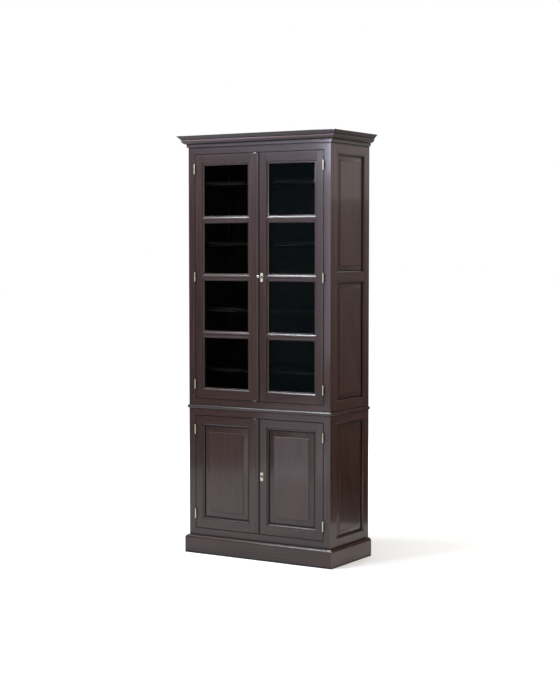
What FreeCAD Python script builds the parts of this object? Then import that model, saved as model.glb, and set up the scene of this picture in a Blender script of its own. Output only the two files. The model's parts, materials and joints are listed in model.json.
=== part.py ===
"""Two-part bookcase: glazed doors above, panelled doors below, on a plinth and under a cornice.

The case stands on z = 0 with its back at +Y and its doors at -Y. x = 0 is the meeting line of the doors.
Lengths are in millimetres. Every size is a cell of the sheet Sizes, and every piece is bound to those cells.
"""
import FreeCAD, Part
import math
import os
import re

import Sketcher

Vector = FreeCAD.Vector

SIZES = {
    # whole object
    "overall_width": 950,
    "overall_depth": 450,
    "overall_height": 2200,
    # cornice, measured out from the case and up from its own lower edge
    "crown_overhang": 45,
    "crown_height": 59,
    "crown_board": 18,
    "fascia_out": 7.5,
    "fascia_height": 16,
    "ovolo_out": 27,
    "ovolo_top": 30,
    "ovolo_radius": 22,
    "bead_height": 10,
    "bead_radius": 6.5,
    "slope_out": 29.5,
    "lip_height": 2.5,
    # plinth and waist moulding
    "plinth_height": 96,
    "plinth_thickness": 18,
    "plinth_ledge": 5,
    "plinth_drop": 15,
    "plinth_radius": 18,
    "waist_level": 772,
    "waist_thickness": 17,
    "waist_nose": 7,
    "waist_round": 5,
    # case
    "face_thickness": 26,
    "post_width": 40,
    "lower_sill": 134,
    "lower_sill_rail": 60,
    "lower_head_rail": 36,
    "upper_sill_rail": 35,
    "frieze_height": 37,
    "case_board": 18,
    "back_thickness": 8,
    "back_rebate": 10,
    "stub_tenon": 8,
    "stub_thickness": 6,
    # panelled sides
    "side_thickness": 24,
    "side_stile": 41,
    "side_back_stile": 54,
    "side_frieze": 53,
    "side_middle_rail": 45,
    "side_middle_level": 1445,
    "side_base_rail": 49,
    "side_head_rail": 41,
    "side_sill": 140,
    "side_sill_rail": 80,
    "side_moulding": 10,
    "side_bevel": 25,
    # raised panels and their mouldings
    "panel_setback": 10,
    "panel_tongue": 6,
    "panel_play": 1,
    "bevel_rise": 5.5,
    "field_rise": 2,
    "moulding_setback": 1,
    "moulding_flat": 2,
    "moulding_fall": 5,
    "moulding_radius": 10,
    # shelves
    "shelf_thickness": 18,
    "shelf_play": 1,
    "shelf_setback": 4,
    "bearer_thickness": 12,
    "bearer_height": 18,
    "lower_shelf": 440,
    "first_shelf": 969,
    "second_shelf": 1284,
    "third_shelf": 1628,
    "fourth_shelf": 1942,
    # doors
    "door_thickness": 24,
    "door_gap": 2,
    "hinge_gap": 1.5,
    "meeting_gap": 3,
    "meeting_bead": 16,
    "meeting_bead_flat": 2,
    "meeting_bead_radius": 8,
    "door_stile": 41,
    "glazed_rail": 45,
    "glazing_bar": 12,
    "panel_head_rail": 40,
    "panel_foot_rail": 48,
    "door_moulding": 13,
    "door_bevel": 32,
    "tenon_setback": 8,
    "tenon_thickness": 8,
    "tenon_length": 25,
    "tenon_shoulder": 5,
    "bar_tenon": 10,
    "glass_setback": 14,
    "glass_thickness": 3,
    "glass_play": 1,
    "glass_bead": 8,
    "glass_bead_edge": 3,
    # butt hinges
    "hinge_length": 50,
    "hinge_leaf": 20,
    "hinge_leaf_thickness": 1.5,
    "hinge_play": 0.1,
    "hinge_stand_off": 4.2,
    "knuckle_radius": 4,
    "hinge_pin_radius": 1.75,
    "bore_play": 0.05,
    "hinge_inset": 74,
    # locks, key and escutcheons
    "lock_rise": 5,
    "lock_inset": 14.5,
    "lock_width": 30,
    "lock_height": 36,
    "lock_setback": 12,
    "lock_wall": 1.5,
    "bolt_rise": 5,
    "bolt_height": 8,
    "bolt_thickness": 6,
    "bolt_setback": 15,
    "bolt_length": 24,
    "bolt_edge": 0.5,
    "bolt_travel": 7,
    "slide_play": 0.1,
    "chamber_reach": 9,
    "keyhole_radius": 2.6,
    "keyhole_slot": 2.8,
    "keyhole_drop": 8.5,
    "escutcheon_width": 16,
    "escutcheon_height": 46,
    "escutcheon_thickness": 1.5,
    "escutcheon_drop": 4,
    "key_radius": 2,
    "key_reach": 44,
    "key_depth": 20.5,
    "bow_radius": 8,
    "bow_hole_radius": 4.8,
    "bow_thickness": 2.5,
    "collar_radius": 3.2,
    "collar_length": 3,
    "bit_thickness": 2.2,
    "bit_drop": 7.5,
    "bit_length": 4,
    # flush bolts of the left doors
    "flush_inset": 10.5,
    "flush_setback": 17,
    "flush_bar": 6,
    "flush_length": 60,
    "flush_travel": 8,
    "flush_channel": 8,
    "flush_channel_depth": 12,
    "flush_plate_width": 16,
    "flush_plate_length": 72,
    "flush_plate_thickness": 1.5,
    "knob_radius": 1.5,
    "knob_reach": 4,
    "knob_level": 46,
    "flush_keeper_depth": 10,
}

doc = FreeCAD.newDocument("Bookcase")
sheet = doc.addObject("Spreadsheet::Sheet", "Sizes")
for row, (alias, value) in enumerate(SIZES.items(), 1):
    sheet.set(f"A{row}", alias)
    sheet.set(f"B{row}", str(value))
    sheet.setAlias(f"B{row}", alias)
doc.recompute()

# Places in the case, worked out from the sizes.
SIDE = "(overall_width / 2 - crown_overhang)"
SIDE_INNER = f"({SIDE} - side_thickness)"
POST_INNER = f"({SIDE} - post_width)"
FRONT = "(crown_overhang - overall_depth / 2)"
FACE_BACK = f"({FRONT} + face_thickness)"
BACK = "(overall_depth / 2)"
BACK_PANEL = f"({BACK} - back_thickness)"
CROWN_BASE = "(overall_height - crown_height)"
CASE_TOP = "(overall_height - crown_board)"
WAIST_TOP = "(waist_level + waist_thickness)"
LOWER_HEAD = "(waist_level - lower_head_rail)"
UPPER_SILL = f"({WAIST_TOP} + upper_sill_rail)"
UPPER_HEAD = f"({CROWN_BASE} - frieze_height)"
SIDE_ARRIS_FRONT = f"({FACE_BACK} + side_stile)"
SIDE_ARRIS_BACK = f"({BACK} - side_back_stile)"

# Places on the left door; the right door is its mirror image in x = 0.
DOOR_OUTER = f"(hinge_gap - {POST_INNER})"
DOOR_INNER = "(-(meeting_bead + meeting_gap) / 2)"
DOOR_BACK = f"({FRONT} + door_thickness)"
PANE_LEFT = f"({DOOR_OUTER} + door_stile)"
PANE_RIGHT = f"({DOOR_INNER} - door_stile)"
UPPER_DOOR = (f"({UPPER_SILL} + door_gap)", f"({UPPER_HEAD} - door_gap)")
LOWER_DOOR = ("(lower_sill + door_gap)", f"({LOWER_HEAD} - door_gap)")
HINGE_X = f"(hinge_gap / 2 - {POST_INNER})"
HINGE_Y = f"({FRONT} - hinge_stand_off)"
LOCK_X = f"(lock_inset - {DOOR_INNER})"
LOCK_LEVEL = {
    tier: f"(({base} + {top}) / 2 + lock_rise)"
    for tier, (base, top) in (("upper", UPPER_DOOR), ("lower", LOWER_DOOR))
}
FLUSH_X = f"({DOOR_INNER} - flush_inset)"
FLUSH_Y = f"({FRONT} + flush_setback)"
PANES = 4

nodes = []


def bound(text):
    """The expression with each size's name led back to the sheet."""
    return re.sub(r"[a-z][a-z_]+", lambda word: "Sizes." + word[0] if word[0] in SIZES else word[0], text)


def bind(thing, target, text):
    thing.setExpression(target, bound(text))


def measure(text):
    """The present value of an expression, as a number."""
    result = sheet.evalExpression(bound(text))
    return float(getattr(result, "Value", result))


def node(thing, label):
    """Marks an object as one of the model's sub-parts."""
    thing.Label = label
    nodes.append(thing)
    return thing


# ---- solids from primitives -------------------------------------------------------------------------------

def box(name, x, y, z):
    """A board between two planes along each axis."""
    solid = doc.addObject("Part::Box", name)
    for size, base, (low, high) in zip(("Length", "Width", "Height"), "xyz", (x, y, z)):
        bind(solid, size, f"{high} - ({low})")
        bind(solid, f"Placement.Base.{base}", low)
    return solid


def cylinder(name, radius, x, y, z, length, axis="z"):
    """A cylinder of a length along an axis, from the point x, y, z."""
    solid = doc.addObject("Part::Cylinder", name)
    turns = {"z": (Vector(0, 0, 1), 0), "x": (Vector(0, 1, 0), 90), "y": (Vector(1, 0, 0), -90)}
    solid.Placement = FreeCAD.Placement(Vector(), FreeCAD.Rotation(*turns[axis]))
    bind(solid, "Radius", radius)
    bind(solid, "Height", length)
    for base, place in zip("xyz", (x, y, z)):
        bind(solid, f"Placement.Base.{base}", place)
    return solid


def group(name, solids):
    """Separate solids held together as one object."""
    compound = doc.addObject("Part::Compound", name)
    compound.Links = solids
    return compound


def join(name, solids):
    fusion = doc.addObject("Part::MultiFuse", name)
    fusion.Shapes = solids
    fusion.Refine = True
    return fusion


def cut(name, base, tools):
    result = doc.addObject("Part::Cut", name)
    result.Base = base
    result.Tool = tools[0] if len(tools) == 1 else group(name + "_voids", tools)
    return result


def mirror(name, source):
    """The mirror image of an object in the plane x = 0."""
    image = doc.addObject("Part::Mirroring", name)
    image.Source = source
    image.Normal = Vector(1, 0, 0)
    return image


def both_sides(name, source):
    return group(name, [source, mirror(name + "_mirrored", source)])


def copy(name, source, x="0", y="0", z="0"):
    """A linked copy of an object, moved."""
    link = doc.addObject("App::Link", name)
    link.LinkedObject = source
    link.LinkTransform = True
    for base, place in zip("xyz", (x, y, z)):
        bind(link, f"LinkPlacement.Base.{base}", place)
    return link


# ---- solids from sketches ---------------------------------------------------------------------------------

def new_body(name):
    return doc.addObject("PartDesign::Body", name)


def sketch(body, name, plane, offset="0"):
    """A sketch on one of the body's own origin planes, moved along that plane's normal."""
    drawn = body.newObject("Sketcher::SketchObject", name)
    for feature in body.Origin.OriginFeatures:
        if feature.Role == plane + "_Plane":
            drawn.AttachmentSupport = [(feature, "")]
    drawn.MapMode = "FlatFace"
    bind(drawn, "AttachmentOffset.Base.z", offset)
    return drawn


def arc_between(start, end, radius, bulge):
    """A counter-clockwise arc between two points, bulging to the right (+1) or left (-1) of start to end."""
    chord = end - start
    middle = (start + end) / 2
    aside = Vector(-chord.y, chord.x, 0).normalize() * bulge
    centre = middle + aside * math.sqrt(radius ** 2 - (chord.Length / 2) ** 2)
    first, last = (start, end) if bulge > 0 else (end, start)
    angles = [math.atan2(p.y - centre.y, p.x - centre.x) for p in (first, last)]
    circle = Part.Circle(centre, Vector(0, 0, 1), radius)
    return Part.ArcOfCircle(circle, angles[0], angles[1])


def outline(drawn, points, arcs=None):
    """Draws a closed outline whose corners, and the radii of whose arcs, are bound to the sizes.

    arcs maps a side's number to (radius, bulge); the side runs from the corner of that number to the next.
    """
    arcs = arcs or {}
    base = drawn.GeometryCount
    places = [Vector(measure(u), measure(v), 0) for u, v in points]
    ends = []
    for side, start in enumerate(places):
        end = places[(side + 1) % len(places)]
        if side in arcs:
            radius, bulge = arcs[side]
            drawn.addGeometry(arc_between(start, end, measure(radius), bulge), False)
            ends.append((1, 2) if bulge > 0 else (2, 1))
            constraint = drawn.addConstraint(Sketcher.Constraint("Radius", base + side, measure(radius)))
            bind(drawn, f"Constraints[{constraint}]", radius)
        else:
            drawn.addGeometry(Part.LineSegment(start, end), False)
            ends.append((1, 2))
    for side in range(len(points)):
        following = (side + 1) % len(points)
        drawn.addConstraint(
            Sketcher.Constraint("Coincident", base + side, ends[side][1], base + following, ends[following][0])
        )
    for side, corner in enumerate(points):
        for kind, place in zip(("DistanceX", "DistanceY"), corner):
            constraint = drawn.addConstraint(
                Sketcher.Constraint(kind, -1, 1, base + side, ends[side][0], measure(place))
            )
            bind(drawn, f"Constraints[{constraint}]", place)


def rectangle(drawn, u, v, inset="0"):
    """A rectangle between two places along each axis of the sketch, drawn in by an inset."""
    (left, right), (low, high) = u, v
    corners = [(left, low), (right, low), (right, high), (left, high)]
    signs = [("+", "+"), ("-", "+"), ("-", "-"), ("+", "-")]
    outline(drawn, [
        (f"{a} {sign_a} ({inset})", f"{b} {sign_b} ({inset})")
        for (a, b), (sign_a, sign_b) in zip(corners, signs)
    ])


def pad(body, drawn, length, midplane=False):
    feature = body.newObject("PartDesign::Pad", drawn.Name + "_pad")
    feature.Profile = drawn
    bind(feature, "Length", length)
    feature.Midplane = midplane
    return feature


def pocket_through(body, drawn):
    feature = body.newObject("PartDesign::Pocket", drawn.Name + "_pocket")
    feature.Profile = drawn
    feature.Type = 1
    feature.Midplane = True
    return feature


# ---- mouldings round the case -----------------------------------------------------------------------------

def mitre(body, name, corners):
    drawn = sketch(body, name, "XY")
    for loop in corners:
        outline(drawn, loop)
    pocket_through(body, drawn)


def case_moulding(name, out, points, arcs):
    """A moulding applied to the front and both ends of the case, mitred at the front corners.

    points are (projection from the case, height), out is the largest projection.
    """
    past = f"({out} + {out})"
    front = new_body(name + "_front_body")
    profile = sketch(front, name + "_front_profile", "YZ")
    outline(profile, [(f"{FRONT} - {reach}", z) for reach, z in points], arcs)
    pad(front, profile, f"2 * ({SIDE} + {out})", midplane=True)
    mitre(front, name + "_front_mitres", [
        [
            (f"{sign} * {SIDE}", FRONT),
            (f"{sign} * ({SIDE} + {past})", f"{FRONT} - {past}"),
            (f"{sign} * ({SIDE} + {past})", f"{FRONT} + {past}"),
            (f"{sign} * {SIDE}", f"{FRONT} + {past}"),
        ]
        for sign in ("1", "-1")
    ])
    end = new_body(name + "_end_body")
    profile = sketch(end, name + "_end_profile", "XZ", f"-{BACK}")
    outline(profile, [(f"{SIDE} + {reach}", z) for reach, z in points],
            {side: (radius, -bulge) for side, (radius, bulge) in arcs.items()})
    pad(end, profile, f"{BACK} - {FRONT} + {out}")
    mitre(end, name + "_end_mitre", [[
        (SIDE, FRONT),
        (f"{SIDE} + {past}", f"{FRONT} - {past}"),
        (f"{SIDE} - {past}", f"{FRONT} - {past}"),
        (f"{SIDE} - {past}", FRONT),
    ]])
    return front, end


def cornice():
    """Fascia, ovolo, bead, a straight slope and a thin lip, from the bottom up."""
    def level(height):
        return f"{CROWN_BASE} + {height}"

    points = [
        ("0", level("0")),
        ("fascia_out", level("0")),
        ("fascia_out", level("fascia_height")),
        ("ovolo_out", level("ovolo_top")),
        ("ovolo_out", level("(ovolo_top + bead_height)")),
        ("slope_out", level("(ovolo_top + bead_height)")),
        ("crown_overhang", "overall_height - lip_height"),
        ("crown_overhang", "overall_height"),
        ("0", "overall_height"),
    ]
    arcs = {2: ("ovolo_radius", -1), 3: ("bead_radius", -1)}
    front, end = case_moulding("cornice", "crown_overhang", points, arcs)
    node(front, "cornice_front")
    node(both_sides("cornice_end_pair", end), "cornice_ends")
    node(box("crown_cover", (f"-{SIDE}", SIDE), (FRONT, BACK), (CASE_TOP, "overall_height")), "crown_board")


def plinth():
    shoulder = "plinth_height - plinth_drop"
    points = [
        ("0", "0"),
        ("plinth_thickness", "0"),
        ("plinth_thickness", shoulder),
        ("plinth_ledge", "plinth_height"),
        ("0", "plinth_height"),
    ]
    front, end = case_moulding("plinth", "plinth_thickness", points, {2: ("plinth_radius", -1)})
    node(front, "plinth_front")
    node(both_sides("plinth_end_pair", end), "plinth_ends")


def waist():
    """The board between the two cases, with a rounded nose at the front and both ends."""
    reach = f"({SIDE} + waist_nose - waist_round)"
    front = f"({FRONT} - waist_nose + waist_round)"
    radius = "((waist_thickness ^ 2 / 4 + waist_round ^ 2) / (2 * waist_round))"
    lengthways = new_body("waist_lengthways")
    profile = sketch(lengthways, "waist_nose_profile", "YZ")
    outline(profile, [(BACK, "waist_level"), (BACK, WAIST_TOP), (front, WAIST_TOP), (front, "waist_level")],
            {2: (radius, 1)})
    pad(lengthways, profile, "overall_width", midplane=True)
    crossways = new_body("waist_crossways")
    profile = sketch(crossways, "waist_end_profile", "XZ", f"-{BACK}")
    outline(profile, [(f"-{reach}", "waist_level"), (reach, "waist_level"), (reach, WAIST_TOP),
                      (f"-{reach}", WAIST_TOP)], {1: (radius, 1), 3: (radius, 1)})
    pad(crossways, profile, "overall_depth")
    board = doc.addObject("Part::MultiCommon", "waist_common")
    board.Shapes = [lengthways, crossways]
    node(board, "waist_board")


# ---- the case ---------------------------------------------------------------------------------------------

def tongued_rail(name, x, y, z, along, grooves):
    """A rail between two stiles, with a stub tenon at each end and a groove for each panel it borders.

    along is the rail's axis, x or y. grooves holds "top" and "bottom" as the panels need.
    """
    if along == "x":
        setback = (f"{y[0]} + panel_setback", f"{y[0]} + panel_setback + stub_thickness")
        stub_x, stub_y = (f"{x[0]} - stub_tenon", f"{x[1]} + stub_tenon"), setback
    else:
        setback = (f"{x[1]} - panel_setback - stub_thickness", f"{x[1]} - panel_setback")
        stub_x, stub_y = setback, (f"{y[0]} - stub_tenon", f"{y[1]} + stub_tenon")
    rail = join(name + "_blank", [box(name + "_board", x, y, z), box(name + "_stub", stub_x, stub_y, z)])
    spans = {"top": (f"{z[1]} - stub_tenon", z[1]), "bottom": (z[0], f"{z[0]} + stub_tenon")}
    if not grooves:
        return rail
    return cut(name, rail, [box(f"{name}_{edge}_groove", stub_x, stub_y, spans[edge]) for edge in grooves])


def face_frame(name, base, sill, head, top, holes):
    """Two posts with a rail under and over the door opening; the rails have stub tenons in the posts.

    holes are the bores in the rails for the bolts of the left door.
    """
    depth = (FRONT, FACE_BACK)
    stub = (f"{FRONT} + panel_setback", f"{FRONT} + panel_setback + stub_thickness")
    reach = (f"-{POST_INNER} - stub_tenon", f"{POST_INNER} + stub_tenon")
    rails, stubs = [], []
    for place, span in (("sill", sill), ("head", head)):
        plain = box(f"{name}_{place}_board", (f"-{POST_INNER}", POST_INNER), depth, span)
        tongue = box(f"{name}_{place}_stub", reach, stub, span)
        stubs.append(tongue)
        rails.append(join(f"{name}_{place}_rail", [plain, tongue]))
    node(cut(name + "_rails_bored", group(name + "_rail_pair", rails), holes), name + "_face_rails")
    post = box(name + "_post", (POST_INNER, SIDE), depth, (base, top))
    return cut(name + "_posts_mortised", both_sides(name + "_post_pair", post), stubs)


def panelled_side(name, base, top, rails, panels):
    """The framed sides of one case: stiles, rails, raised panels and their mouldings.

    rails is a list of (low, high, grooved edges), panels a list of (low, high) openings.
    """
    outer = (SIDE_INNER, SIDE)
    groove_x = (f"{SIDE} - panel_setback - stub_thickness", f"{SIDE} - panel_setback")
    front_stile = cut(
        name + "_front_stile",
        box(name + "_front_stile_board", outer, (FACE_BACK, SIDE_ARRIS_FRONT), (base, top)),
        [box(name + "_front_groove", groove_x, (f"{SIDE_ARRIS_FRONT} - stub_tenon", SIDE_ARRIS_FRONT),
             (base, top))],
    )
    back_stile = cut(
        name + "_back_stile",
        box(name + "_back_stile_board", outer, (SIDE_ARRIS_BACK, BACK), (base, top)),
        [
            box(name + "_back_groove", groove_x, (SIDE_ARRIS_BACK, f"{SIDE_ARRIS_BACK} + stub_tenon"),
                (base, top)),
            box(name + "_back_rebate", (SIDE_INNER, f"{SIDE_INNER} + back_rebate"), (BACK_PANEL, BACK),
                (base, top)),
        ],
    )
    stiles = group(name + "_stile_pair", [front_stile, back_stile])
    node(both_sides(name + "_stile_set", stiles), name + "_side_stiles")
    span = (SIDE_ARRIS_FRONT, SIDE_ARRIS_BACK)
    members = [
        tongued_rail(f"{name}_side_rail_{number}", outer, span, (low, high), "y", grooves)
        for number, (low, high, grooves) in enumerate(rails)
    ]
    node(both_sides(name + "_rail_set", group(name + "_side_rail_pair", members)), name + "_side_rails")
    fields = [
        raised_panel(f"{name}_side_panel_{number}", "YZ", span, opening, "side_moulding", "side_bevel")
        for number, opening in enumerate(panels)
    ]
    node(both_sides(name + "_panel_set", group(name + "_panel_pair", fields)), name + "_side_panels")
    return [
        sight_moulding(f"{name}_side_moulding_{number}", "YZ", span, opening, "side_moulding", "panel_setback")
        for number, opening in enumerate(panels)
    ]


def carcass_boards():
    """The floor of each case and the ceiling of the upper one, all alike."""
    levels = ["lower_sill - case_board", f"{UPPER_SILL} - case_board", UPPER_HEAD]
    boards = [
        box(f"case_board_{number}", (f"-{SIDE_INNER}", SIDE_INNER), (FACE_BACK, BACK_PANEL),
            (level, f"{level} + case_board"))
        for number, level in enumerate(levels)
    ]
    node(group("case_board_set", boards), "floors_and_ceiling")


def backs():
    reach = f"({SIDE_INNER} + back_rebate)"
    for name, span in (("lower_back", ("lower_sill - case_board", "waist_level")),
                       ("upper_back", (WAIST_TOP, CASE_TOP))):
        node(box(name + "_board", (f"-{reach}", reach), (BACK_PANEL, BACK), span), name)


UPPER_SHELVES = ["first_shelf", "second_shelf", "third_shelf", "fourth_shelf"]


SHELF_DEPTH = (f"{FACE_BACK} + shelf_setback", f"{BACK_PANEL} - shelf_play")


def shelf(name, level):
    reach = f"({SIDE_INNER} - shelf_play)"
    return box(name, (f"-{reach}", reach), SHELF_DEPTH, (level, f"{level} + shelf_thickness"))


def shelf_bearers(levels):
    """A bearer under each end of each shelf, fixed across the stiles of the side."""
    bearers = [
        box(f"shelf_bearer_{number}", (f"{SIDE_INNER} - bearer_thickness", SIDE_INNER), SHELF_DEPTH,
            (f"{level} - bearer_height", level))
        for number, level in enumerate(levels)
    ]
    node(both_sides("shelf_bearer_set", group("shelf_bearers_right", bearers)), "shelf_bearers")


# ---- raised panels and mouldings --------------------------------------------------------------------------

def depth_of(plane, depth):
    """The coordinate of a depth behind the outer face of a door (XZ) or of the right side (YZ)."""
    return f"({FRONT} + {depth})" if plane == "XZ" else f"({SIDE} - {depth})"


def plane_offset(plane, depth):
    """The same depth as an offset along the plane's normal, which points out of the case."""
    return f"-{depth_of(plane, depth)}" if plane == "XZ" else depth_of(plane, depth)


def raised_panel(name, plane, u, v, moulding, bevel):
    """A raised and fielded panel: an edge that sits in the grooves, a wide bevel and a flat field."""
    body = new_body(name)
    edge = sketch(body, name + "_edge", plane, plane_offset(plane, "(panel_setback + panel_tongue)"))
    rectangle(edge, u, v, "panel_play - stub_tenon")
    pad(body, edge, "panel_tongue")
    top = "(panel_setback - bevel_rise)"
    field = sketch(body, name + "_field", plane, plane_offset(plane, top))
    rectangle(field, u, v, f"{moulding} + {bevel}")
    pad(body, field, "field_rise")
    slope = frustum(name + "_bevel", plane, u, v, ("panel_setback", moulding), (top, f"({moulding} + {bevel})"))
    return join(name + "_raised", [body, slope])


def frustum(name, plane, u, v, foot, head):
    """A block with four sloping sides; foot and head are (depth behind the face, distance in from u and v)."""
    block = doc.addObject("Part::Wedge", name)
    if plane == "XZ":
        low, high = head, foot
    else:
        block.Placement.Rotation = FreeCAD.Rotation(Vector(0, 0, 1), -90)
        u, low, high = (f"-({u[1]})", f"-({u[0]})"), foot, head
    for (depth, inset), end, mark in ((low, "Ymin", ""), (high, "Ymax", "2")):
        bind(block, end, depth_of(plane, depth))
        for axis, (first, last) in (("X", u), ("Z", v)):
            bind(block, f"{axis}{mark}min", f"{first} + {inset}")
            bind(block, f"{axis}{mark}max", f"{last} - {inset}")
    return block


def mitred_ring(name, plane, u, v, points, arcs, depth):
    """A moulding run round the inside of an opening and mitred at its corners.

    points are (depth behind the face, distance in from the edge of the opening).
    """
    middle = f"({u[0]} + {u[1]}) / 2"
    body = new_body(name)
    run = sketch(body, name + "_run", plane, plane_offset(plane, depth))
    outline(run, [(middle, v[0]), (u[1], v[0]), (u[1], v[1]), (u[0], v[1]), (u[0], v[0])])
    across = ("YZ", middle) if plane == "XZ" else ("XZ", f"-({middle})")
    profile = sketch(body, name + "_profile", *across)
    turn = 1 if plane == "XZ" else -1
    outline(profile, [(depth_of(plane, back), f"{v[0]} + {inward}") for back, inward in points],
            {side: (radius, bulge * turn) for side, (radius, bulge) in arcs.items()})
    sweep = body.newObject("PartDesign::AdditivePipe", name + "_sweep")
    sweep.Profile = profile
    sweep.Spine = (run, [f"Edge{number}" for number in range(1, 6)])
    sweep.Transition = "Right corner"
    return body


def sight_moulding(name, plane, u, v, width, depth):
    """The ovolo moulding planted round a panel or a pane."""
    points = [
        ("moulding_setback", "0"),
        ("moulding_setback", "moulding_flat"),
        ("(moulding_setback + moulding_fall)", width),
        (depth, width),
        (depth, "0"),
    ]
    return mitred_ring(name, plane, u, v, points, {1: ("moulding_radius", 1)}, depth)


def glass_bead(name, u, v):
    """The bead that holds a pane in from behind."""
    glass_back = "(glass_setback + glass_thickness)"
    points = [
        (glass_back, "0"),
        (glass_back, "glass_bead"),
        (f"({glass_back} + glass_bead_edge)", "glass_bead"),
        ("(door_thickness - moulding_setback)", "glass_bead_edge"),
        ("(door_thickness - moulding_setback)", "0"),
    ]
    return mitred_ring(name, "XZ", u, v, points, {}, glass_back)


# ---- doors ------------------------------------------------------------------------------------------------

def door_depth():
    return (FRONT, DOOR_BACK)


def tenon_depth():
    return (f"{FRONT} + tenon_setback", f"{FRONT} + tenon_setback + tenon_thickness")


def tenoned_rail(name, span, length, shoulder):
    """A rail of a glazed door with a tenon at each end; returns the rail and its tenon bar."""
    board = box(name + "_board", (PANE_LEFT, PANE_RIGHT), door_depth(), span)
    tenon = box(name + "_tenon", (f"{PANE_LEFT} - {length}", f"{PANE_RIGHT} + {length}"), tenon_depth(),
                (f"{span[0]} + {shoulder}", f"{span[1]} - {shoulder}"))
    return join(name, [board, tenon]), tenon


def stile_pair(name, span):
    left = box(name + "_hinge_stile", (DOOR_OUTER, PANE_LEFT), door_depth(), span)
    right = box(name + "_meeting_stile", (PANE_RIGHT, DOOR_INNER), door_depth(), span)
    return group(name + "_stile_pair", [left, right])


def glazed_openings():
    """The low and high edge of each pane's opening, between rails and glazing bars."""
    base, top = UPPER_DOOR
    pitch = f"(({top} - {base} - 2 * glazed_rail + glazing_bar) / {PANES})"
    lows = [f"({base} + glazed_rail + {number} * {pitch})" for number in range(PANES)]
    return [(low, f"({low} + {pitch} - glazing_bar)") for low in lows]


def glazed_door():
    """The pieces of the upper left door, as unlabelled objects."""
    base, top = UPPER_DOOR
    openings = glazed_openings()
    foot, foot_tenon = tenoned_rail("glazed_foot", (base, openings[0][0]), "tenon_length", "tenon_shoulder")
    head, head_tenon = tenoned_rail("glazed_head", (openings[-1][1], top), "tenon_length", "tenon_shoulder")
    bars, bar_tenons = [], []
    for number, ((_, low), (high, _)) in enumerate(zip(openings, openings[1:])):
        bar, tenon = tenoned_rail(f"glazing_bar_{number}", (low, high), "bar_tenon", "0")
        bars.append(bar)
        bar_tenons.append(tenon)
    across = (PANE_LEFT, PANE_RIGHT)
    pane_x = (f"{PANE_LEFT} + glass_play", f"{PANE_RIGHT} - glass_play")
    pane_y = (f"{FRONT} + glass_setback", f"{FRONT} + glass_setback + glass_thickness")
    front_ring = sight_moulding("pane_moulding", "XZ", across, openings[0], "door_moulding", "glass_setback")
    back_ring = glass_bead("pane_bead", across, openings[0])
    rings = [front_ring, back_ring]
    panes = []
    for number, (low, high) in enumerate(openings):
        panes.append(box(f"pane_{number}", pane_x, pane_y, (f"{low} + glass_play", f"{high} - glass_play")))
        if number:
            rise = f"{low} - {openings[0][0]}"
            rings.append(copy(f"pane_moulding_{number}", front_ring, z=rise))
            rings.append(copy(f"pane_bead_{number}", back_ring, z=rise))
    return {
        "stiles": cut("glazed_stiles", stile_pair("glazed", (base, top)), [foot_tenon, head_tenon] + bar_tenons),
        "rails": group("glazed_rails", [foot, head]),
        "glazing_bars": group("glazing_bars", bars),
        "mouldings": group("pane_mouldings", rings),
        "glass": group("panes", panes),
    }


def panelled_door():
    """The pieces of the lower left door, as unlabelled objects."""
    base, top = LOWER_DOOR
    opening = (f"({base} + panel_foot_rail)", f"({top} - panel_head_rail)")
    across = (PANE_LEFT, PANE_RIGHT)
    depth = door_depth()
    foot = tongued_rail("panel_foot", across, depth, (base, opening[0]), "x", ["top"])
    head = tongued_rail("panel_head", across, depth, (opening[1], top), "x", ["bottom"])
    groove_y = (f"{FRONT} + panel_setback", f"{FRONT} + panel_setback + stub_thickness")
    grooves = box("panel_stile_grooves", (f"{PANE_LEFT} - stub_tenon", f"{PANE_RIGHT} + stub_tenon"),
                  groove_y, (base, top))
    moulding = sight_moulding("panel_moulding", "XZ", across, opening, "door_moulding", "panel_setback")
    return {
        "stiles": cut("panel_stiles", stile_pair("panelled", (base, top)), [grooves]),
        "rails": group("panel_rails", [foot, head]),
        "moulding": moulding,
        "panel": raised_panel("door_panel", "XZ", across, opening, "door_moulding", "door_bevel"),
    }


def meeting_bead(name, span, slot):
    """The half-round strip on the meeting edge of a left door, slotted for the bolt of the right one."""
    body = new_body(name + "_body")
    plan = sketch(body, name + "_plan", "XY", span[0])
    right = f"({DOOR_INNER} + meeting_bead)"
    outline(plan, [
        (DOOR_INNER, DOOR_BACK),
        (DOOR_INNER, FRONT),
        (f"{DOOR_INNER} + meeting_bead_flat", FRONT),
        (f"{right} - meeting_bead_flat", FRONT),
        (right, FRONT),
        (right, DOOR_BACK),
    ], {2: ("meeting_bead_radius", 1)})
    pad(body, plan, f"{span[1]} - {span[0]}")
    return cut(name, body, [slot])


# ---- butt hinges ------------------------------------------------------------------------------------------

KNUCKLES = 5
ROUND_SIDES = 10


def slim_round(name, radius, z, length):
    """A small upright round of the hinge on the origin, as a prism of a few sides."""
    solid = doc.addObject("Part::Prism", name)
    solid.Polygon = ROUND_SIDES
    bind(solid, "Circumradius", radius)
    bind(solid, "Height", length)
    bind(solid, "Placement.Base.z", z)
    return solid


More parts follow.
